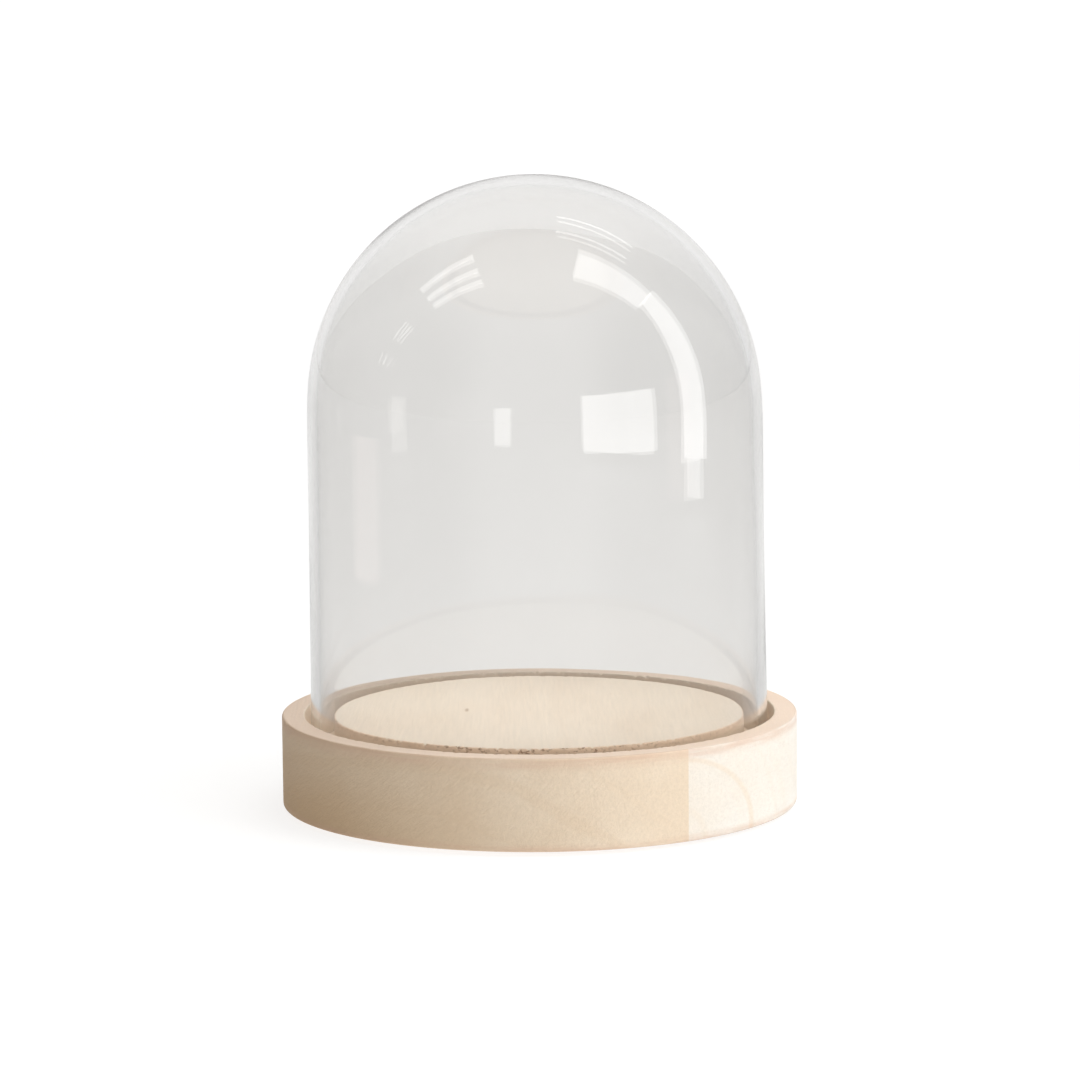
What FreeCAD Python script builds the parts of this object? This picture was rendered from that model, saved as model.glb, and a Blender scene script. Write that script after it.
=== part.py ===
import FreeCAD, Part
import math
import os

import Sketcher

# A bell jar: a blown glass dome that stands loose in a groove milled into a round wooden base.
# The base is turned from two boards glued edge to edge, and stands on four thin felt pads.
# Frame: millimetres, +Z up, origin on the dome's axis in the plane of the table.
# The glue joint is the plane x = joint_offset, so the narrower board is on the +X side.

SHEET = "dims"
DRIVING_SIZES = {
    "base_diameter": 120.0,
    "base_height": 21.0,
    "edge_chamfer": 0.6,
    "joint_offset": 33.0,
    "groove_diameter": 109.5,
    "groove_width": 7.1,
    "groove_depth": 7.0,
    "groove_chamfer": 0.3,
    "dome_height": 132.0,
    "dome_rim_diameter": 106.8,
    "dome_shoulder_diameter": 105.4,
    "glass_wall": 2.2,
    "rim_rounding": 0.8,
    "pad_diameter": 12.0,
    "pad_thickness": 1.0,
    "pad_circle_diameter": 92.0,
}
PAD_COUNT = 4
FULL_TURN = 360
SAME_PLACE = 1e-4
LARGEST_SHARE_KEPT = 0.95


class Length:
    """A length that a feature is bound to: the sheet's expression for it, and what it comes to now."""

    def __init__(self, text, value):
        self.text = text
        self.value = value

    def __add__(self, other):
        return Length(f"({self.text} + {other.text})", self.value + other.value)

    def __sub__(self, other):
        return Length(f"({self.text} - {other.text})", self.value - other.value)

    def half(self):
        return Length(f"({self.text} / 2)", self.value / 2)


def size(alias):
    return Length(f"{SHEET}.{alias}", DRIVING_SIZES[alias])


ZERO = Length("0", 0.0)


def add_sheet(doc):
    sheet = doc.addObject("Spreadsheet::Sheet", SHEET)
    for row, (alias, value) in enumerate(DRIVING_SIZES.items(), start=1):
        sheet.set(f"A{row}", alias)
        sheet.set(f"B{row}", str(value))
        sheet.setAlias(f"B{row}", alias)
    doc.recompute()


def add_body(doc, name):
    body = doc.addObject("PartDesign::Body", name)
    body.Label = name
    return body


def add_sketch(body, name, plane_role):
    """A sketch on one of the body's own origin planes."""
    sketch = body.newObject("Sketcher::SketchObject", name)
    plane = next(f for f in body.Origin.OriginFeatures if f.Role == plane_role)
    sketch.AttachmentSupport = [(plane, "")]
    sketch.MapMode = "FlatFace"
    return sketch


def pin(sketch, geometry, end, across, up):
    """Fixes one end of a line or arc at (across, up) from the sketch's origin."""
    for kind, length in (("DistanceX", across), ("DistanceY", up)):
        number = sketch.addConstraint(
            Sketcher.Constraint(kind, -1, 1, geometry, end, length.value)
        )
        sketch.setExpression(f"Constraints[{number}]", length.text)


def add_polygon(sketch, corners):
    """A closed outline of straight lines, each corner bound to the sheet."""
    points = [FreeCAD.Vector(a.value, b.value, 0) for a, b in corners]
    for here, after in zip(points, points[1:] + points[:1]):
        sketch.addGeometry(Part.LineSegment(here, after))
    for number, (across, up) in enumerate(corners):
        before = (number - 1) % len(corners)
        sketch.addConstraint(Sketcher.Constraint("Coincident", before, 2, number, 1))
        pin(sketch, number, 1, across, up)


def revolve(body, sketch, name):
    """Turns a half section, drawn in the body's XZ plane, right round the Z axis."""
    turned = body.newObject("PartDesign::Revolution", name)
    turned.Profile = sketch
    turned.ReferenceAxis = (sketch, ["V_Axis"])
    turned.Angle = FULL_TURN
    body.Document.recompute()
    return turned


def rim_edges(feature, radii, height):
    """Names of the feature's round edges that have one of these radii and lie at this height."""
    found = []
    for number, edge in enumerate(feature.Shape.Edges, start=1):
        if edge.Degenerated or not isinstance(edge.Curve, Part.Circle):
            continue
        if abs(edge.Curve.Center.z - height) > SAME_PLACE:
            continue
        if any(abs(edge.Curve.Radius - radius) < SAME_PLACE for radius in radii):
            found.append(f"Edge{number}")
    return found


def finish_edges(body, name, kind, base, edges, setting, length):
    """A Fillet or Chamfer on named edges, its size bound to the sheet."""
    finish = body.newObject(kind, name)
    finish.Base = (base, edges)
    finish.setExpression(setting, length.text)
    body.Document.recompute()
    return finish


def add_turned_base(body):
    """The whole round base as it comes off the lathe, with the groove for the glass."""
    radius = size("base_diameter").half()
    top = size("base_height")
    groove_outer = size("groove_diameter").half()
    groove_inner = groove_outer - size("groove_width")
    groove_floor = top - size("groove_depth")
    sketch = add_sketch(body, body.Name + "_section", "XZ_Plane")
    add_polygon(sketch, [
        (ZERO, ZERO),
        (radius, ZERO),
        (radius, top),
        (groove_outer, top),
        (groove_outer, groove_floor),
        (groove_inner, groove_floor),
        (groove_inner, top),
        (ZERO, top),
    ])
    turned = revolve(body, sketch, body.Name + "_turned")

    outside = rim_edges(turned, [radius.value], 0.0)
    outside += rim_edges(turned, [radius.value], top.value)
    broken = finish_edges(body, body.Name + "_edge_chamfer", "PartDesign::Chamfer",
                          turned, outside, "Size", size("edge_chamfer"))

    mouth = rim_edges(broken, [groove_outer.value, groove_inner.value], top.value)
    return finish_edges(body, body.Name + "_groove_mouth", "PartDesign::Chamfer",
                        broken, mouth, "Size", size("groove_chamfer"))


def make_board(doc, name, keep_plus_x):
    """One board of the base: the turned base, less what lies across the glue joint."""
    body = add_body(doc, name)
    whole = add_turned_base(body)
    volume_before = whole.Shape.Volume

    across = size("joint_offset")
    reach = size("base_diameter")
    far = ZERO - reach if keep_plus_x else reach
    sketch = add_sketch(body, name + "_other_side", "XY_Plane")
    add_polygon(sketch, [
        (across, ZERO - reach),
        (far, ZERO - reach),
        (far, reach),
        (across, reach),
    ])
    cut = body.newObject("PartDesign::Pocket", name + "_joint_face")
    cut.Profile = sketch
    cut.Type = "ThroughAll"
    cut.Reversed = True
    doc.recompute()
    if cut.Shape.Volume > LARGEST_SHARE_KEPT * volume_before:
        raise RuntimeError(f"{name}: the joint cut removed nothing")

    body.setExpression("Placement.Base.z", size("pad_thickness").text)
    return body


def add_dome_section(sketch):
    """Half section of the dome: a wall that widens a little to the rim, and a round cap tangent to it."""
    height = size("dome_height")
    wall = size("glass_wall")
    rim = size("dome_rim_diameter").half()
    shoulder = size("dome_shoulder_diameter").half()
    cap_centre = height.value - shoulder.value
    inner_shoulder = shoulder.value - wall.value

    def at(across, up):
        return FreeCAD.Vector(across, up, 0)

    def quarter(radius):
        circle = Part.Circle(at(0, cap_centre), FreeCAD.Vector(0, 0, 1), radius)
        return Part.ArcOfCircle(circle, 0, math.pi / 2)

    inner_rim = rim - wall
    inner_height = height - wall
    outer_wall, outer_cap, crown, inner_cap, inner_wall, foot = range(6)
    sketch.addGeometry([
        Part.LineSegment(at(rim.value, 0), at(shoulder.value, cap_centre)),
        quarter(shoulder.value),
        Part.LineSegment(at(0, height.value), at(0, inner_height.value)),
        quarter(inner_shoulder),
        Part.LineSegment(at(inner_shoulder, cap_centre), at(inner_rim.value, 0)),
        Part.LineSegment(at(inner_rim.value, 0), at(rim.value, 0)),
    ])
    start, end, centre, axis = 1, 2, 3, -2
    sketch.addConstraint([
        Sketcher.Constraint("Tangent", outer_wall, end, outer_cap, start),
        Sketcher.Constraint("Coincident", outer_cap, end, crown, start),
        Sketcher.Constraint("Coincident", crown, end, inner_cap, end),
        Sketcher.Constraint("Tangent", inner_cap, start, inner_wall, start),
        Sketcher.Constraint("Coincident", inner_wall, end, foot, start),
        Sketcher.Constraint("Coincident", foot, end, outer_wall, start),
        Sketcher.Constraint("PointOnObject", outer_cap, centre, axis),
        Sketcher.Constraint("Coincident", inner_cap, centre, outer_cap, centre),
    ])
    pin(sketch, outer_wall, start, rim, ZERO)
    pin(sketch, inner_wall, end, inner_rim, ZERO)
    pin(sketch, crown, start, ZERO, height)
    pin(sketch, crown, end, ZERO, inner_height)
    number = sketch.addConstraint(
        Sketcher.Constraint("DistanceX", -1, 1, outer_wall, end, shoulder.value)
    )
    sketch.setExpression(f"Constraints[{number}]", shoulder.text)


def make_dome(doc, name):
    """The glass dome, its ground rim rounded over on both sides, standing on the groove's floor."""
    body = add_body(doc, name)
    sketch = add_sketch(body, name + "_section", "XZ_Plane")
    add_dome_section(sketch)
    turned = revolve(body, sketch, name + "_blown")
    rim = size("dome_rim_diameter").half()
    edges = rim_edges(turned, [rim.value, (rim - size("glass_wall")).value], 0.0)
    finish_edges(body, name + "_rim", "PartDesign::Fillet",
                 turned, edges, "Radius", size("rim_rounding"))
    groove_floor = size("pad_thickness") + size("base_height") - size("groove_depth")
    body.setExpression("Placement.Base.z", groove_floor.text)
    return body


def make_foot_pad(doc, name, angle):
    """A round self-adhesive felt pad under the base."""
    pad = doc.addObject("Part::Cylinder", name)
    pad.Label = name
    circle_radius = size("pad_circle_diameter").half().text
    pad.setExpression("Radius", size("pad_diameter").half().text)
    pad.setExpression("Height", size("pad_thickness").text)
    pad.setExpression("Placement.Base.x", f"{circle_radius} * cos({angle} deg)")
    pad.setExpression("Placement.Base.y", f"{circle_radius} * sin({angle} deg)")
    return pad


def export(parts):
    """Checks every sub-part's shape, then writes each one to its own STEP file."""
    for part in parts:
        if part.Shape.isNull() or not part.Shape.isValid():
            raise RuntimeError(f"{part.Label} has no valid shape")
    os.makedirs("parts", exist_ok=True)
    for part in parts:
        part.Shape.exportStep(os.path.join("parts", part.Label + ".step"))
        box = part.Shape.optimalBoundingBox(False)
        print(f"{part.Label}: {box.XLength:.2f} x {box.YLength:.2f} x {box.ZLength:.2f} mm,"
              f" z {box.ZMin:.2f} to {box.ZMax:.2f}, {part.Shape.Volume / 1000:.2f} ml,"
              f" {len(part.Shape.Solids)} solid")


def main():
    doc = FreeCAD.newDocument("bell_jar_dome")
    add_sheet(doc)
    parts = [
        make_board(doc, "base_board_wide", keep_plus_x=False),
        make_board(doc, "base_board_narrow", keep_plus_x=True),
        make_dome(doc, "glass_dome"),
    ]
    for number in range(PAD_COUNT):
        angle = number * FULL_TURN // PAD_COUNT
        parts.append(make_foot_pad(doc, f"foot_pad_{number + 1}", angle))
    doc.recompute()
    for thing in doc.Objects:
        if "Invalid" in thing.State or "Error" in thing.State:
            raise RuntimeError(f"{thing.Name} failed: {thing.State}")
    export(parts)


main()
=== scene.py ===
import math

import bmesh
import bpy
from mathutils import Matrix, Vector, noise


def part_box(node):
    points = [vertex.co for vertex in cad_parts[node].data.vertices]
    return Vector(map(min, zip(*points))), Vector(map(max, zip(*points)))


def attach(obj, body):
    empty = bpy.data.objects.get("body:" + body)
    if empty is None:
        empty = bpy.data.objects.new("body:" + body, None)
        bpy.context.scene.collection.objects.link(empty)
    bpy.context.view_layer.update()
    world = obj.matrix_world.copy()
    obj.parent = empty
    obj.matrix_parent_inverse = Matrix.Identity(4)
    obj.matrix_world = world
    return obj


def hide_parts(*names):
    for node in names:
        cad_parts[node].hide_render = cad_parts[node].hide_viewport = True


# A glass bell jar on a round base of two glued boards of raw pale wood.
# Metres, +Z up, the object's front towards -Y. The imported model's boxes don't show the sizes
# of the groove and the glass, so those are named here, and are the CAD's. The wood's edges are
# rounded a little less than the CAD's chamfers.

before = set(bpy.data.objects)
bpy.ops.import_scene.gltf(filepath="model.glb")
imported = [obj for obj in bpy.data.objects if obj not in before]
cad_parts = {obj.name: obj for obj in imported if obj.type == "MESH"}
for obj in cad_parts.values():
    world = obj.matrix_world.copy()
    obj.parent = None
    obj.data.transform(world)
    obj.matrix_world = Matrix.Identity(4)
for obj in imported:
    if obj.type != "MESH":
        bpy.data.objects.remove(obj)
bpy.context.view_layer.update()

MM = 0.001
SAME_POINT = 0.005 * MM
NEGLIGIBLE = 1e-6
GROOVE_RADIUS = 54.75 * MM
GROOVE_WIDTH = 7.1 * MM
GROOVE_DEPTH = 7.0 * MM
SHOULDER_RADIUS = 52.7 * MM
GLASS_WALL = 2.2 * MM
RIM_ROUNDING = 0.8 * MM
EDGE_ROUNDING = 0.55 * MM
GROOVE_EDGE = 0.25 * MM

GLASS_LOW, GLASS_HIGH = (Vector(corner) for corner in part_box("glass_dome"))
WIDE_LOW, WIDE_HIGH = (Vector(corner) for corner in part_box("base_board_wide"))
NARROW_LOW, NARROW_HIGH = (Vector(corner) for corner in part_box("base_board_narrow"))

BASE_RADIUS = NARROW_HIGH.x
BASE_BOTTOM = WIDE_LOW.z
BASE_TOP = WIDE_HIGH.z
JOINT_X = NARROW_LOW.x
DISC_RADIUS = GROOVE_RADIUS - GROOVE_WIDTH
GROOVE_FLOOR = BASE_TOP - GROOVE_DEPTH
RIM_RADIUS = GLASS_HIGH.x
CAP_CENTRE_Z = GLASS_HIGH.z - SHOULDER_RADIUS


# ---------------------------------------------------------------- mesh helpers

def arc(centre, radius, start, end, steps):
    """Points of an arc in the (radius, height) plane, from start to end in degrees."""
    angles = [math.radians(start + (end - start) * k / steps) for k in range(steps + 1)]
    return [(centre[0] + radius * math.cos(a), centre[1] + radius * math.sin(a)) for a in angles]


def run(start, end, spacing):
    """Evenly spaced points along a straight line, with both its ends."""
    steps = max(1, round(math.dist(start, end) / spacing))
    return [(start[0] + (end[0] - start[0]) * k / steps,
             start[1] + (end[1] - start[1]) * k / steps) for k in range(steps + 1)]


def without_repeats(points):
    kept = points[:1]
    for point in points[1:]:
        if math.dist(point, kept[-1]) > SAME_POINT:
            kept.append(point)
    return kept


def lathe(profile, segments, shape):
    """A bmesh turned round Z from a profile that starts and ends on the axis.

    shape(point, radius, height) says where a point of the plain turned surface really lies.
    """
    mesh = bmesh.new()
    poles = [mesh.verts.new(shape(Vector((0, 0, z)), 0, z)) for _, z in (profile[0], profile[-1])]
    rings = []
    for radius, height in profile[1:-1]:
        ring = []
        for k in range(segments):
            turn = 2 * math.pi * k / segments
            point = Vector((radius * math.cos(turn), radius * math.sin(turn), height))
            ring.append(mesh.verts.new(shape(point, radius, height)))
        rings.append(ring)
    for k in range(segments):
        after = (k + 1) % segments
        mesh.faces.new((poles[0], rings[0][after], rings[0][k]))
        mesh.faces.new((poles[1], rings[-1][k], rings[-1][after]))
        for one, other in zip(rings, rings[1:]):
            mesh.faces.new((one[k], one[after], other[after], other[k]))
    bmesh.ops.recalc_face_normals(mesh, faces=mesh.faces)
    return mesh


def new_object(name, mesh):
    """Turns a bmesh into a smooth-shaded object in the scene."""
    data = bpy.data.meshes.new(name)
    mesh.to_mesh(data)
    mesh.free()
    data.shade_smooth()
    piece = bpy.data.objects.new(name, data)
    bpy.context.scene.collection.objects.link(piece)
    return piece


def ripple(point, scale, seed):
    """Smooth noise, about -1 to 1, that changes over `scale` metres."""
    return noise.noise(point / scale + Vector((seed, 1.7 * seed, 2.3 * seed)))


def smooth_step(value, low, high):
    share = min(1.0, max(0.0, (value - low) / (high - low)))
    return share * share * (3 - 2 * share)


# ---------------------------------------------------------------- material helpers

def new_material(name):
    """An empty node material, and its output node."""
    material = bpy.data.materials.new(name)
    material.use_nodes = True
    material.node_tree.nodes.clear()
    return material, add(material.node_tree, "ShaderNodeOutputMaterial")


def add(tree, kind, inputs=None, **settings):
    """Adds a node; each input is either another node's socket, or a plain value."""
    node = tree.nodes.new(kind)
    for name, value in settings.items():
        setattr(node, name, value)
    for key, value in (inputs or {}).items():
        if isinstance(value, bpy.types.NodeSocket):
            tree.links.new(value, node.inputs[key])
        else:
            node.inputs[key].default_value = value
    return node


def math_node(tree, operation, first, second=0.0, third=0.0):
    inputs = {0: first, 1: second, 2: third}
    return add(tree, "ShaderNodeMath", inputs, operation=operation).outputs[0]


def times(tree, first, *others):
    """The product of sockets and plain values."""
    for other in others:
        first = math_node(tree, "MULTIPLY", first, other)
    return first


def grey(tree, value):
    parts = {0: value, 1: value, 2: value}
    return add(tree, "ShaderNodeCombineColor", parts).outputs[0]


def vector_length(tree, vector):
    return add(tree, "ShaderNodeVectorMath", {0: vector}, operation="LENGTH").outputs["Value"]


def measured_from(tree, vector, start):
    return add(tree, "ShaderNodeVectorMath", {0: vector, 1: start}, operation="SUBTRACT").outputs[0]


def scaled(tree, vector, scale):
    """The vector with each part multiplied by its own number."""
    inputs = {0: vector, 1: scale}
    return add(tree, "ShaderNodeVectorMath", inputs, operation="MULTIPLY").outputs[0]


def ramp(tree, value, low, high, to_low=0.0, to_high=1.0):
    """The value mapped smoothly from low..high to to_low..to_high, and held at the ends."""
    inputs = {"Value": value, "From Min": low, "From Max": high,
              "To Min": to_low, "To Max": to_high}
    return add(tree, "ShaderNodeMapRange", inputs, interpolation_type="SMOOTHSTEP").outputs[0]


def blend_colours(tree, share, first, second, how="MIX"):
    inputs = {"Factor": share, "A": first, "B": second}
    node = tree.nodes.new("ShaderNodeMix")
    node.data_type = "RGBA"
    node.blend_type = how
    for key, value in inputs.items():
        socket = next(s for s in node.inputs if s.name == key and s.enabled)
        if isinstance(value, bpy.types.NodeSocket):
            tree.links.new(value, socket)
        else:
            socket.default_value = value
    return next(s for s in node.outputs if s.enabled)


def fine_noise(tree, vector, scale, detail=3.0, rough=0.55):
    inputs = {"Vector": vector, "Scale": scale, "Detail": detail, "Roughness": rough}
    return add(tree, "ShaderNodeTexNoise", inputs).outputs["Fac"]


def stretched_noise(tree, vector, per_metre, detail=3.0, rough=0.55):
    """Noise with its own number of grains to the metre along X, Y and Z."""
    return fine_noise(tree, scaled(tree, vector, per_metre), 1.0, detail, rough)


# ---------------------------------------------------------------- the glass

GLASS_SEGMENTS = 288
GLASS_STEP = 1.5 * MM
CAP_STEPS = 64
GLASS_LEAN = 0.006
OUTER_WAVE = 0.06 * MM
INNER_WAVE = 0.10 * MM
WAVE_LENGTH = 34 * MM
SHOULDER_EASE = 9 * MM
GLASS_TINT = (0.91, 0.905, 0.896, 1)
GLASS_SHADOW_TINT = (0.99, 0.99, 0.985, 1)


def wall_radius(height):
    """Outer radius of the wall, which opens out gently from the shoulder to the rim."""
    share = (CAP_CENTRE_Z - height) / (CAP_CENTRE_Z - GLASS_LOW.z)
    return SHOULDER_RADIUS + (RIM_RADIUS - SHOULDER_RADIUS) * share ** 2


def dome_profile():
    """Down the inside from the crown, round the rim, and up the outside to the crown."""
    wall_low = GLASS_LOW.z + RIM_ROUNDING
    heights = [z for _, z in run((0, wall_low), (0, CAP_CENTRE_Z), GLASS_STEP)]
    outer = [(wall_radius(z), z) for z in heights]
    inner = [(radius - GLASS_WALL, z) for radius, z in reversed(outer)]
    inner_cap = arc((0, CAP_CENTRE_Z), SHOULDER_RADIUS - GLASS_WALL, 90, 0, CAP_STEPS)
    outer_cap = arc((0, CAP_CENTRE_Z), SHOULDER_RADIUS, 0, 90, CAP_STEPS)
    rim_in = arc((inner[-1][0] + RIM_ROUNDING, wall_low), RIM_ROUNDING, 180, 270, 8)
    rim_out = arc((outer[0][0] - RIM_ROUNDING, wall_low), RIM_ROUNDING, 270, 360, 8)
    return without_repeats(inner_cap + inner + rim_in + rim_out + outer + outer_cap)


def drawn_in(above_shoulder):
    """Outward shift that lets the wall's bend build up gently across the shoulder.

    above_shoulder is measured along the glass. Its second derivative spreads the sudden step in
    curvature, from the straight wall to the round cap, over SHOULDER_EASE on each side.
    """
    ease = SHOULDER_EASE
    cubic = max(0.0, above_shoulder - ease) ** 3 - max(0.0, above_shoulder + ease) ** 3
    square = max(0.0, above_shoulder) ** 2
    return (cubic / 6 + ease * square) / (2 * ease * SHOULDER_RADIUS)


def blown(point, radius, height):
    """Blown glass isn't quite true: a faint wave in each face, and a slight lean."""
    above_rim = point.z - GLASS_LOW.z
    centre = Vector((0, 0, min(point.z, CAP_CENTRE_Z)))
    outward = point - centre
    is_inner = outward.length < SHOULDER_RADIUS - GLASS_WALL / 2
    wave, seed = (INNER_WAVE, 8) if is_inner else (OUTER_WAVE, 3)
    wave *= smooth_step(above_rim, 0, 12 * MM)
    above_shoulder = point.z - CAP_CENTRE_Z
    if above_shoulder > 0:
        above_shoulder = SHOULDER_RADIUS * math.asin(min(1.0, above_shoulder / outward.length))
    shift = wave * (ripple(point, WAVE_LENGTH, seed) - 1) + drawn_in(above_shoulder)
    moved = point + outward.normalized() * shift
    moved.x -= GLASS_LEAN * above_rim
    return moved


def glass_material():
    """Clear glass with a faint grey body tint. Lamps shine through it without bending."""
    material, output = new_material("clear_glass")
    tree = material.node_tree
    glass = add(tree, "ShaderNodeBsdfPrincipled", {
        "Base Color": GLASS_TINT,
        "Roughness": 0.0,
        "IOR": 1.5,
        "Transmission Weight": 1.0,
    })
    to_lamps = add(tree, "ShaderNodeBsdfTransparent", {"Color": GLASS_SHADOW_TINT})
    path = add(tree, "ShaderNodeLightPath")
    both = add(tree, "ShaderNodeMixShader", {
        0: path.outputs["Is Shadow Ray"],
        1: glass.outputs[0],
        2: to_lamps.outputs[0],
    })
    tree.links.new(both.outputs[0], output.inputs["Surface"])
    return material


def make_glass():
    dome = new_object("blown_dome", lathe(dome_profile(), GLASS_SEGMENTS, blown))
    dome.data.materials.append(glass_material())
    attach(dome, "dome")
    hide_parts("glass_dome")


# ---------------------------------------------------------------- the wooden base

BASE_SEGMENTS = 900
FLAT_STEP = 2.5 * MM
SIDE_STEP = 0.9 * MM
CHIP_REACH = 0.9 * MM
CHIP_DEPTH = 0.35 * MM
CHIP_LENGTH = 0.8 * MM
CHATTER = 0.022 * MM


def base_profile():
    """Half section of the base, from the middle of its underside round to its top."""
    soft = EDGE_ROUNDING
    crisp = GROOVE_EDGE
    outer = BASE_RADIUS
    floor_corner = 0.5 * MM
    floor_out = GROOVE_RADIUS - floor_corner
    floor_in = DISC_RADIUS + floor_corner
    floor_top = GROOVE_FLOOR + floor_corner
    parts = [
        run((0, BASE_BOTTOM), (outer - soft, BASE_BOTTOM), FLAT_STEP),
        arc((outer - soft, BASE_BOTTOM + soft), soft, 270, 360, 6),
        run((outer, BASE_BOTTOM + soft), (outer, BASE_TOP - soft), SIDE_STEP),
        arc((outer - soft, BASE_TOP - soft), soft, 0, 90, 6),
        run((outer - soft, BASE_TOP), (GROOVE_RADIUS + crisp, BASE_TOP), 0.4 * MM),
        arc((GROOVE_RADIUS + crisp, BASE_TOP - crisp), crisp, 90, 180, 4),
        run((GROOVE_RADIUS, BASE_TOP - crisp), (GROOVE_RADIUS, floor_top), 0.5 * MM),
        arc((floor_out, floor_top), floor_corner, 0, -90, 3),
        run((floor_out, GROOVE_FLOOR), (floor_in, GROOVE_FLOOR), MM),
        arc((floor_in, floor_top), floor_corner, 270, 180, 3),
        run((DISC_RADIUS, floor_top), (DISC_RADIUS, BASE_TOP - crisp), 0.35 * MM),
        arc((DISC_RADIUS - crisp, BASE_TOP - crisp), crisp, 0, 90, 4),
        run((DISC_RADIUS - crisp, BASE_TOP), (DISC_RADIUS - 3 * MM, BASE_TOP), 0.4 * MM),
        run((DISC_RADIUS - 3 * MM, BASE_TOP), (0, BASE_TOP), FLAT_STEP),
    ]
    return without_repeats([point for part in parts for point in part])


def edge_nearness(radius, height, edge_radius):
    """1 at a groove's mouth edge, falling to 0 a chip's reach away."""
    away = math.dist((radius, height), (edge_radius, BASE_TOP))
    return 1 - smooth_step(away, 0.1 * MM, CHIP_REACH)


def turned_wood(point, radius, height):
    """The base as cut: chatter on its faces, and fibres torn off the groove's edges.

    The grain runs along Y, so the cutter tears the edges most at the front and back.
    """
    if radius == 0:
        return point
    across_grain = abs(point.y) / radius
    outward = Vector((point.x, point.y, 0)) / radius
    moved = point.copy()
    if height > BASE_BOTTOM + 0.2 * MM:
        moved += outward * CHATTER * ripple(point, 2.2 * MM, 5)
        moved.z += 0.5 * CHATTER * ripple(point, 3.0 * MM, 6) - 0.5 * CHATTER
    for edge_radius, inward, seed in ((DISC_RADIUS, -1, 11), (GROOVE_RADIUS, 1, 17)):
        near = edge_nearness(radius, height, edge_radius)
        if near > 0:
            tear = smooth_step(ripple(point, CHIP_LENGTH, seed), 0.05, 0.55)
            tear *= near * CHIP_DEPTH * (0.35 + 0.65 * across_grain ** 2)
            moved += outward * inward * tear * 0.7
            moved.z -= tear
    side = smooth_step(radius, BASE_RADIUS - 0.3 * MM, BASE_RADIUS)
    moved -= outward * side * CHATTER
    return moved


def one_side_of_joint(mesh, keep_plus_x):
    """Cuts a closed bmesh at the glue joint and closes the cut."""
    cut = bmesh.ops.bisect_plane(
        mesh, geom=mesh.verts[:] + mesh.edges[:] + mesh.faces[:],
        plane_co=(JOINT_X, 0, 0), plane_no=(1, 0, 0),
        clear_inner=keep_plus_x, clear_outer=not keep_plus_x,
    )
    rim = [item for item in cut["geom_cut"] if isinstance(item, bmesh.types.BMEdge)]
    bmesh.ops.triangle_fill(mesh, edges=rim, use_beauty=True)
    bmesh.ops.recalc_face_normals(mesh, faces=mesh.faces)
    return mesh


def sharpen_joint(piece):
    """Keeps the shading crisp where the board's faces meet its joint face."""
    for edge in piece.data.edges:
        ends = [piece.data.vertices[v].co.x for v in edge.vertices]
        edge.use_edge_sharp = all(abs(x - JOINT_X) < NEGLIGIBLE for x in ends)


TOP_TONES = (0.85, 0.74, 0.61, 1), (0.78, 0.64, 0.50, 1)
RING_PINK = (0.74, 0.57, 0.47, 1)
# painted shade for the side's left and its lower edge
SIDE_SHADE_BROWN = (0.52, 0.35, 0.19, 1)
# painted shade along the side's top and bottom edges
SIDE_EDGE_SHADE = (0.60, 0.40, 0.29, 1)
# painted shade in the groove; the next two tones are the disc's torn end grain by the groove, with
# painted shade
GROOVE_SHADE_TONE = (0.88, 0.70, 0.54, 1)
DISC_WALL_GRAIN_AND_SHADE = (0.82, 0.60, 0.43, 1)
TORN_EDGE_SHADE = (0.22, 0.10, 0.045, 1)
PORE_TONE = (0.42, 0.27, 0.15, 1)
DISC_MARK = (-17 * MM, 1 * MM, BASE_TOP)
DISC_MARK_SIZE = 0.7 * MM
RING_DRIFT = 9 * MM
RINGS_PER_METRE = 210.0
TEAR_SLANT = 0.75


class Spot:
    """Where on the base a shaded point is: its place, height, distance from the axis, and face."""

    def __init__(self, tree):
        self.place = add(tree, "ShaderNodeTexCoord").outputs["Object"]
        part = add(tree, "ShaderNodeSeparateXYZ", {0: self.place})
        self.across = part.outputs["X"]
        self.height = part.outputs["Z"]
        self.radius = vector_length(tree, scaled(tree, self.place, (1, 1, 0)))
        self.on_side = ramp(tree, self.radius, BASE_RADIUS - 0.6 * MM, BASE_RADIUS - 0.1 * MM)


def grained(tree, spot, fibres, side_tones, pith, arc_radius, arc_strength, seed):
    """Clean wood: clouds, rings round a pith that runs along Y, one ring that stands out, pores."""
    light, dark = (blend_colours(tree, spot.on_side, TOP_TONES[k], side_tones[k]) for k in range(2))
    distance = vector_length(tree, scaled(tree, measured_from(tree, spot.place, pith), (1, 0, 1)))
    from_arc = math_node(tree, "ABSOLUTE", math_node(tree, "SUBTRACT", distance, arc_radius))
    arc_line = ramp(tree, from_arc, 0.15 * MM, 0.9 * MM, arc_strength, 0.0)

    # the rings wander slowly along the grain
    drift = stretched_noise(tree, spot.place, (30, 7, 30), detail=2.0)
    distance = math_node(tree, "MULTIPLY_ADD", drift, RING_DRIFT, distance)
    ring_place = add(tree, "ShaderNodeCombineXYZ", {0: distance, 1: seed}).outputs[0]
    rings = ramp(tree, fine_noise(tree, ring_place, RINGS_PER_METRE, detail=2.0, rough=0.5), 0.50, 0.72)
    pores = ramp(tree, stretched_noise(tree, spot.place, (2600, 210, 2600), detail=1.0), 0.62, 0.76)
    clouds = stretched_noise(tree, spot.place, (42, 16, 42))

    colour = blend_colours(tree, ramp(tree, clouds, 0.3, 0.7, 0.0, 0.45), light, dark)
    colour = blend_colours(tree, times(tree, rings, 0.42), colour, dark)
    colour = blend_colours(tree, arc_line, colour, dark)
    fibre_shade = ramp(tree, fibres, 0.25, 0.75, 0.95, 1.03)
    colour = blend_colours(tree, 1.0, colour, grey(tree, fibre_shade), how="MULTIPLY")
    return blend_colours(tree, times(tree, pores, 0.12), colour, PORE_TONE)


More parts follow.
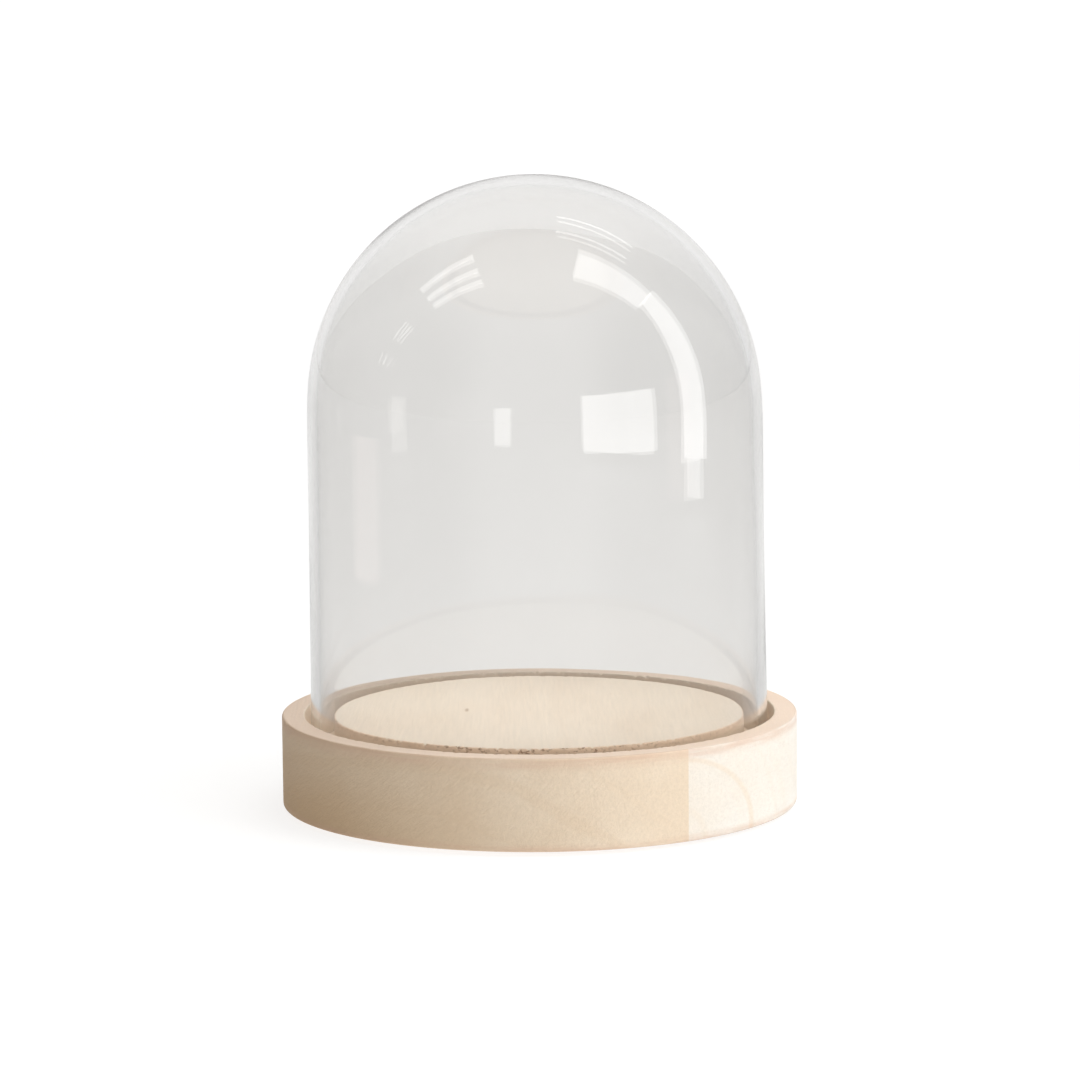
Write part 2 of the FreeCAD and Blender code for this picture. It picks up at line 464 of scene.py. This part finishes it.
def shaded_left_side(tree, spot, colour):
    """The side is painted darker and browner towards the left, most towards its lower edge: painted
    shade on the side turned from the light.
    """
    leftward = ramp(tree, spot.across, -62 * MM, 25 * MM, 0.8, 0.0)
    downward = ramp(tree, spot.height, BASE_BOTTOM, BASE_TOP, 1.0, 0.45)
    return blend_colours(tree, times(tree, leftward, downward, spot.on_side), colour, SIDE_SHADE_BROWN)


def marked_disc(tree, spot, colour):
    """A short resin streak on the disc."""
    from_mark = scaled(tree, measured_from(tree, spot.place, DISC_MARK), (1, 0.22, 1))
    mark = ramp(tree, vector_length(tree, from_mark), 0.3 * DISC_MARK_SIZE, DISC_MARK_SIZE, 0.6, 0.0)
    return blend_colours(tree, mark, colour, PORE_TONE)


def pink_ring(tree, spot, colour):
    """The ring's flat top is sanded pinker than the disc."""
    on_ring = ramp(tree, spot.radius, GROOVE_RADIUS, GROOVE_RADIUS + 0.5 * MM, 0.0, 0.55)
    on_ring = times(tree, on_ring, math_node(tree, "SUBTRACT", 1.0, spot.on_side))
    return blend_colours(tree, on_ring, colour, RING_PINK)


def shaded_side_edges(tree, spot, colour):
    """The side is painted darker in streaked bands near its two edges: painted shade below the top edge
    and along the bottom edge by the floor.
    """
    low_band = ramp(tree, spot.height, BASE_BOTTOM + 0.4 * MM, BASE_BOTTOM + 2.2 * MM, 1.0, 0.0)
    high_band = ramp(tree, spot.height, BASE_TOP - 3.6 * MM, BASE_TOP - 0.8 * MM)
    bands = math_node(tree, "MAXIMUM", low_band, high_band)
    streaks = ramp(tree, stretched_noise(tree, spot.place, (60, 60, 900)), 0.3, 0.7, 0.15, 0.6)
    return blend_colours(tree, times(tree, bands, spot.on_side, streaks), colour, SIDE_EDGE_SHADE)


def shaded_groove(tree, spot, colour):
    """The groove is painted a little darker, as painted shade in the recess. The disc's wall by the
    groove's mouth is browner, as torn end grain and painted shade, with dark dashes along its edge,
    most across the grain: torn end grain with painted shade in the tears.
    """
    in_groove = math_node(tree, "COMPARE", spot.radius, GROOVE_RADIUS - GROOVE_WIDTH / 2,
                          GROOVE_WIDTH / 2 + 0.1 * MM)
    below_top = ramp(tree, spot.height, BASE_TOP - 0.7 * MM, BASE_TOP - 0.1 * MM, 0.7, 0.0)
    colour = blend_colours(tree, times(tree, in_groove, below_top), colour, GROOVE_SHADE_TONE)

    by_disc = math_node(tree, "COMPARE", spot.radius, DISC_RADIUS, 0.30 * MM)
    near_mouth = ramp(tree, spot.height, BASE_TOP - 2.4 * MM, BASE_TOP - 0.4 * MM, 0.2, 1.0)
    by_disc = times(tree, by_disc, near_mouth)
    colour = blend_colours(tree, times(tree, by_disc, 0.8), colour, DISC_WALL_GRAIN_AND_SHADE)

    dashes = stretched_noise(tree, spot.place, (900, 900, 1500), rough=0.6)
    dashes = ramp(tree, dashes, 0.52, 0.66, 0.0, 0.9)
    aside = math_node(tree, "ABSOLUTE", spot.across)
    across_grain = ramp(tree, aside, 5 * MM, 35 * MM, 1.0, 0.3)
    return blend_colours(tree, times(tree, by_disc, dashes, across_grain), colour, TORN_EDGE_SHADE)


def torn_fibres(tree, spot, fibres):
    """Relief of the fibres, with slanting strokes on the side and finer fuzz everywhere."""
    slanted = add(tree, "ShaderNodeVectorRotate", {"Vector": spot.place, "Angle": TEAR_SLANT},
                  rotation_type="Y_AXIS").outputs[0]
    strokes = stretched_noise(tree, slanted, (260, 260, 1150), detail=4.0, rough=0.65)
    strokes = times(tree, strokes, ramp(tree, spot.on_side, 0.0, 1.0, 0.2, 2.2))
    fuzz = stretched_noise(tree, spot.place, (1100, 700, 700), detail=4.0, rough=0.7)
    relief = math_node(tree, "ADD", math_node(tree, "MULTIPLY_ADD", fibres, 0.6, fuzz), strokes)
    bump = add(tree, "ShaderNodeBump", {"Strength": 0.6, "Distance": 0.16 * MM, "Height": relief})
    return bump.outputs[0]


def wood_material(name, side_tones, pith, arc_radius, arc_strength, seed):
    """Raw pale wood with its grain along Y: rings round a pith, fibres, pores and tool marks, and
    painted shade on the side and in the groove.

    side_tones holds the side's light and dark colours. One ring, arc_radius from the pith, can
    stand out from the rest.
    """
    material, output = new_material(name)
    tree = material.node_tree
    spot = Spot(tree)
    # fibres run along Y, so they are lines on the top and sides and dots on the end grain
    fibres = stretched_noise(tree, spot.place, (1500, 60, 1500), rough=0.6)
    colour = grained(tree, spot, fibres, side_tones, pith, arc_radius, arc_strength, seed)
    for finish in (shaded_left_side, marked_disc, pink_ring, shaded_side_edges, shaded_groove):
        colour = finish(tree, spot, colour)
    surface = add(tree, "ShaderNodeBsdfPrincipled", {
        "Base Color": colour,
        "Roughness": ramp(tree, fibres, 0.3, 0.7, 0.62, 0.78),
        "Specular IOR Level": 0.35,
        "Normal": torn_fibres(tree, spot, fibres),
    })
    tree.links.new(surface.outputs[0], output.inputs["Surface"])
    return material


BOARDS = {
    "wide": dict(
        node="base_board_wide", keep_plus_x=False,
        side_tones=((0.73, 0.62, 0.49, 1), (0.65, 0.51, 0.37, 1)),
        pith=(-0.030, 0, -0.060), arc_radius=0.095, arc_strength=0.0, seed=2.0,
    ),
    "narrow": dict(
        node="base_board_narrow", keep_plus_x=True,
        # the narrow board's side tones: its own lighter wood, made paler and greyer as a painted
        # highlight on its brightly lit side
        side_tones=((0.75, 0.72, 0.67, 1), (0.72, 0.62, 0.51, 1)),
        pith=(0.031, 0, 0.003), arc_radius=0.0166, arc_strength=0.75, seed=6.0,
    ),
}


def make_boards():
    for name, board in BOARDS.items():
        mesh = lathe(base_profile(), BASE_SEGMENTS, turned_wood)
        piece = new_object(f"turned_board_{name}", one_side_of_joint(mesh, board["keep_plus_x"]))
        sharpen_joint(piece)
        wood = wood_material(f"raw_wood_{name}", board["side_tones"], board["pith"],
                             board["arc_radius"], board["arc_strength"], board["seed"])
        piece.data.materials.append(wood)
        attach(piece, "base")
        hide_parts(board["node"])


# ---------------------------------------------------------------- the felt pads

PAD_SEGMENTS = 72
FELT_TONES = (0.30, 0.26, 0.21, 1), (0.45, 0.40, 0.34, 1)
FELT_HAIR = (0.62, 0.57, 0.50, 1)


def felt_material():
    """Pressed grey-brown felt: matted fibres in two tones with a soft sheen."""
    material, output = new_material("pressed_felt")
    tree = material.node_tree
    place = add(tree, "ShaderNodeTexCoord").outputs["Object"]
    mats = fine_noise(tree, place, 900.0, detail=5.0, rough=0.7)
    hairs = stretched_noise(tree, place, (5200, 1300, 2600), detail=2.0)
    colour = blend_colours(tree, ramp(tree, mats, 0.35, 0.65), *FELT_TONES)
    colour = blend_colours(tree, ramp(tree, hairs, 0.55, 0.75, 0.0, 0.4), colour, FELT_HAIR)
    relief = math_node(tree, "ADD", mats, hairs)
    bump = add(tree, "ShaderNodeBump", {"Strength": 0.8, "Distance": 0.15 * MM, "Height": relief})
    surface = add(tree, "ShaderNodeBsdfPrincipled", {
        "Base Color": colour,
        "Roughness": 0.95,
        "Specular IOR Level": 0.2,
        "Sheen Weight": 0.3,
        "Normal": bump.outputs[0],
    })
    tree.links.new(surface.outputs[0], output.inputs["Surface"])
    return material


def make_pads():
    felt = felt_material()
    for node in sorted(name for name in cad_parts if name.startswith("foot_pad")):
        low, high = (Vector(corner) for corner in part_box(node))
        centre = (low + high) / 2
        radius = (high.x - low.x) / 2
        thick = high.z - low.z
        soft = thick / 3
        profile = without_repeats(
            run((0, 0), (radius - soft, 0), 0.5 * MM)
            + arc((radius - soft, soft), soft, 270, 360, 4)
            + arc((radius - soft, thick - soft), soft, 0, 90, 4)
            + run((radius - soft, thick), (0, thick), 0.5 * MM)
        )

        def cut_felt(point, r, z):
            """A punched disc with a slightly furry edge, pressed flat where it is glued."""
            moved = point.copy()
            if r > radius - 0.6 * MM:
                moved.x *= 1 - 0.02 * abs(ripple(point + centre, 0.4 * MM, 21))
                moved.y *= 1 - 0.02 * abs(ripple(point + centre, 0.4 * MM, 22))
            return moved + Vector((centre.x, centre.y, low.z))

        pad = new_object(f"felt_{node}", lathe(profile, PAD_SEGMENTS, cut_felt))
        pad.data.materials.append(felt)
        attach(pad, "base")
        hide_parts(node)


# ---------------------------------------------------------------- floor, light and camera

FLOOR_SIZE = 60.0
GLOW_NEAR, GLOW_FAR = 0.76, 0.96
GLOW_REACH = (0.3, 2.2)
ASIDE = (0.35, 0.80)
SEEN_THROUGH = (1.0, 0.84)
MIRRORED_FLOOR = (0.86, 0.50)
MIRRORED_WHITE = (0.86, 0.85, 0.84, 1)
WALL_TONES = (0.20, 0.19, 0.17, 1), (0.12, 0.13, 0.14, 1)
ROOM_LIGHT = (0.10, 0.08, 0.06, 1), (0.55, 0.55, 0.54, 1)


def make_floor():
    """A pale studio table, partly lit from within, so that it stays white and its shadows soft.

    Towards the sides it glows less for what the glass bends or mirrors than for the camera.
    """
    mesh = bmesh.new()
    bmesh.ops.create_grid(mesh, x_segments=1, y_segments=1, size=FLOOR_SIZE / 2)
    floor = new_object("studio_floor", mesh)
    material, output = new_material("studio_white")
    tree = material.node_tree
    place = add(tree, "ShaderNodeTexCoord").outputs["Object"]
    away = vector_length(tree, place)
    across = add(tree, "ShaderNodeSeparateXYZ", {0: place}).outputs["X"]
    aside = math_node(tree, "DIVIDE", math_node(tree, "ABSOLUTE", across),
                      math_node(tree, "MAXIMUM", away, MM))
    white = ramp(tree, away, *GLOW_REACH, GLOW_NEAR, GLOW_FAR)
    path = add(tree, "ShaderNodeLightPath")
    mirrored = ramp(tree, aside, *ASIDE, *MIRRORED_FLOOR)
    through = ramp(tree, aside, *ASIDE, *SEEN_THROUGH)
    dimmed = ramp(tree, path.outputs["Is Glossy Ray"], 0.0, 1.0, through, mirrored)
    glow = times(tree, white, math_node(tree, "MAXIMUM", path.outputs["Is Camera Ray"], dimmed))
    surface = add(tree, "ShaderNodeBsdfPrincipled", {
        "Base Color": (0.3, 0.3, 0.3, 1),
        "Roughness": 1.0,
        "Specular IOR Level": 0.0,
        "Emission Color": (1, 1, 1, 1),
        "Emission Strength": glow,
    })
    tree.links.new(surface.outputs[0], output.inputs["Surface"])
    floor.data.materials.append(material)


def make_world():
    """White to the camera, and a little dimmer at the sides through the glass.

    The glass mirrors dark walls at its sides. The light the room gives is dimmest and warmest
    on the left.
    """
    world = bpy.data.worlds.new("studio_room")
    bpy.context.scene.world = world
    world.use_nodes = True
    tree = world.node_tree
    tree.nodes.clear()
    direction = add(tree, "ShaderNodeTexCoord").outputs["Generated"]
    across = add(tree, "ShaderNodeSeparateXYZ", {0: direction}).outputs["X"]
    side = ramp(tree, across, -0.9, 0.9)
    aside = math_node(tree, "ABSOLUTE", across)
    path = add(tree, "ShaderNodeLightPath")

    walls = blend_colours(tree, side, *WALL_TONES)
    mirrored = blend_colours(tree, ramp(tree, aside, *ASIDE), MIRRORED_WHITE, walls)
    lighting = blend_colours(tree, side, *ROOM_LIGHT)
    room = blend_colours(tree, path.outputs["Is Glossy Ray"], lighting, mirrored)
    through = ramp(tree, aside, *ASIDE, *SEEN_THROUGH)
    backdrop = math_node(tree, "MAXIMUM", path.outputs["Is Camera Ray"], through)
    straight = math_node(tree, "MAXIMUM", path.outputs["Is Camera Ray"],
                         path.outputs["Is Transmission Ray"])
    colour = blend_colours(tree, straight, room, grey(tree, backdrop))
    background = add(tree, "ShaderNodeBackground", {"Color": colour})
    output = add(tree, "ShaderNodeOutputWorld")
    tree.links.new(background.outputs[0], output.inputs["Surface"])


def area_light(name, place, facing, size, radiance, colour=(1, 1, 1), only_soft=False):
    """A rectangular lamp at `place`, turned to face a point, upright in its own height.

    radiance is how bright its face looks, where the floor is 1. only_soft lamps light the
    wood and the floor but don't show in the glass.
    """
    data = bpy.data.lights.new(name, "AREA")
    data.shape = "RECTANGLE"
    data.size, data.size_y = size
    data.color = colour
    data.energy = radiance * math.pi * size[0] * size[1]
    lamp = bpy.data.objects.new(name, data)
    away = (Vector(place) - Vector(facing)).normalized()
    across = Vector((0, 0, 1)).cross(away)
    across = across.normalized() if across.length > NEGLIGIBLE else Vector((1, 0, 0))
    upright = away.cross(across)
    turn = Matrix((across, upright, away)).transposed().to_4x4()
    lamp.matrix_world = Matrix.Translation(Vector(place)) @ turn
    lamp.visible_camera = False
    if only_soft:
        lamp.visible_glossy = False
        lamp.visible_transmission = False
    bpy.context.scene.collection.objects.link(lamp)


def standing_lamp(name, turn, reach, low, high, width, radiance, colour):
    """A lamp that faces the axis from `reach` away, `turn` degrees round from the front."""
    angle = math.radians(turn)
    place = (reach * math.sin(angle), -reach * math.cos(angle), (low + high) / 2)
    area_light(name, place, (0, 0, place[2]), (width, high - low), radiance, colour)


SOFTBOX_X = 0.62
SOFTBOX_PARTS = (
    # name, y, low, high, width, radiance
    ("tall_softbox", -0.062, 0.019, 0.67, 0.167, 2.6),
    ("tall_softbox_foot", -0.066, 0.005, 0.019, 0.12, 1.5),
)
WHITE = (1, 1, 1)
PINK = (1.0, 0.80, 0.77)
STANDING_LAMPS = (
    # name, turn, reach, low, high, width, radiance, colour
    ("low_window_0", 29.3, 0.815, 0.010, 0.215, 0.182, 2.6, WHITE),
    ("low_window_1", 42.0, 0.803, 0.010, 0.215, 0.182, 2.6, WHITE),
    ("low_window_2", 54.7, 0.793, 0.010, 0.215, 0.182, 2.6, WHITE),
    ("small_window", -15.5, 0.90, 0.012, 0.160, 0.125, 1.8, WHITE),
    ("pink_panel", -90, 0.40, 0.004, 0.055, 0.12, 0.48, PINK),
)
CEILING = 1.5
TUBES = (
    # name, x, y of each row, length and width as shares of the ceiling's height, radiance
    ("left_tube", -0.66, (-0.31, -0.175, -0.01), 0.56, 0.05, 2.6),
    ("far_left_tube", -1.75, (-0.33, -0.20), 0.60, 0.035, 2.4),
    ("farthest_left_tube", -3.3, (-0.50, -0.30, -0.10), 0.9, 0.045, 1.7),
    ("right_tube", 0.38, (0.17, 0.38), 0.50, 0.025, 2.6),
    ("overhead_softbox", 0.66, (-0.14,), 0.75, 0.32, 2.3),
)
SOFT_LAMPS = (
    # name, place, width, radiance, colour
    ("key", (1.1, -0.55, 0.75), 0.9, 2.4, (0.96, 0.99, 1.0)),
    ("front", (0.35, -1.2, 0.65), 0.9, 0.9, (1.0, 0.98, 0.93)),
    ("top", (0.1, 0.1, 1.3), 1.0, 2.3, (1.0, 0.98, 0.96)),
)
LIT_PLACE = (0, 0, 0.08)


def make_lights():
    """A tall softbox at the right, low lamps round the front, ceiling lamps, and soft lamps."""
    for name, y, low, high, width, radiance in SOFTBOX_PARTS:
        middle = (low + high) / 2
        area_light(name, (SOFTBOX_X, y, middle), (0, y, middle), (width, high - low), radiance)

    for lamp in STANDING_LAMPS:
        standing_lamp(*lamp)

    for name, x, rows, length, width, radiance in TUBES:
        for number, y in enumerate(rows):
            place = (x * CEILING, y * CEILING, CEILING)
            area_light(f"{name}_{number}", place, (place[0], place[1], 0),
                       (length * CEILING, width * CEILING), radiance)

    for name, place, width, radiance, colour in SOFT_LAMPS:
        area_light(name, place, LIT_PLACE, (width, width), radiance, colour, only_soft=True)


CAMERA_DISTANCE = 0.973
CAMERA_ELEVATION = math.radians(8.0)
CAMERA_ROLL = math.radians(0.49)
CAMERA_AIM = Vector((0.0005, 0, 0.062))
CAMERA_LENS = 139.75


def make_camera():
    data = bpy.data.cameras.new("camera")
    data.sensor_width = 36
    data.lens = CAMERA_LENS
    camera = bpy.data.objects.new("camera", data)
    back = Vector((0, -math.cos(CAMERA_ELEVATION), math.sin(CAMERA_ELEVATION)))
    right = Vector((1, 0, 0))
    up = back.cross(right)
    tilted_up = up * math.cos(CAMERA_ROLL) + right * math.sin(CAMERA_ROLL)
    tilted_right = right * math.cos(CAMERA_ROLL) - up * math.sin(CAMERA_ROLL)
    turn = Matrix((tilted_right, tilted_up, back)).transposed().to_4x4()
    camera.matrix_world = Matrix.Translation(CAMERA_AIM + CAMERA_DISTANCE * back) @ turn
    bpy.context.scene.collection.objects.link(camera)
    bpy.context.scene.camera = camera


def main():
    bpy.context.scene.view_settings.view_transform = "Standard"
    make_glass()
    make_boards()
    make_pads()
    make_floor()
    make_world()
    make_lights()
    make_camera()


main()
